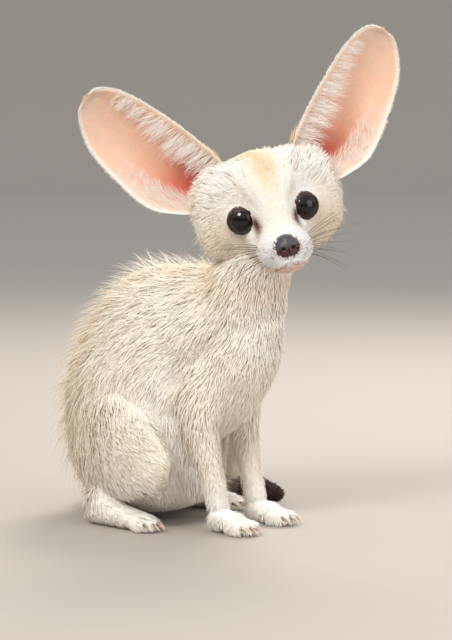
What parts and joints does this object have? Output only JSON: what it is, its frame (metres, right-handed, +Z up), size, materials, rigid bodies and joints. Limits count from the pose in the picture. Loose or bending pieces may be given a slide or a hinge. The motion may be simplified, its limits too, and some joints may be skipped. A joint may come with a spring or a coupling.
{
  "type": "fennec fox kit",
  "caption": "Life-size sitting fennec fox kit with its head turned to one side, very large cupped ears and its tail curled along the floor.",
  "frame": {"origin": "on the floor, under the middle of the box round the whole animal", "axes": "+Z up; +X the way the body faces; +Y towards its left side, so its head is turned towards -Y"},
  "size_m": [0.1608, 0.1252, 0.2219],
  "materials": {
    "coat": "soft short fur, cream to white",
    "tail_dark": "dark brown fur",
    "ear_skin": "thin pink skin with fine pale hair",
    "nose_skin": "moist dark leather",
    "eye": "wet, glossy dark brown",
    "claw": "pale horn"
  },
  "bodies": {
    "root": {"head": "coat", "nose_leather": "nose_skin", "eye_left": "eye", "ear_left": "ear_skin", "eye_right": "eye", "ear_right": "ear_skin", "foreleg_left": "coat", "claw_front_left_1": "claw", "claw_front_left_2": "claw", "claw_front_left_3": "claw", "claw_front_left_4": "claw", "hindleg_left": "coat", "claw_hind_left_1": "claw", "claw_hind_left_2": "claw", "claw_hind_left_3": "claw", "claw_hind_left_4": "claw", "foreleg_right": "coat", "claw_front_right_1": "claw", "claw_front_right_2": "claw", "claw_front_right_3": "claw", "claw_front_right_4": "claw", "hindleg_right": "coat", "claw_hind_right_1": "claw", "claw_hind_right_2": "claw", "claw_hind_right_3": "claw", "claw_hind_right_4": "claw", "tail_root": "coat", "tail_middle": "coat", "tail_tip": "tail_dark", "neck": "coat", "torso": "coat"}
  },
  "joints": []
}
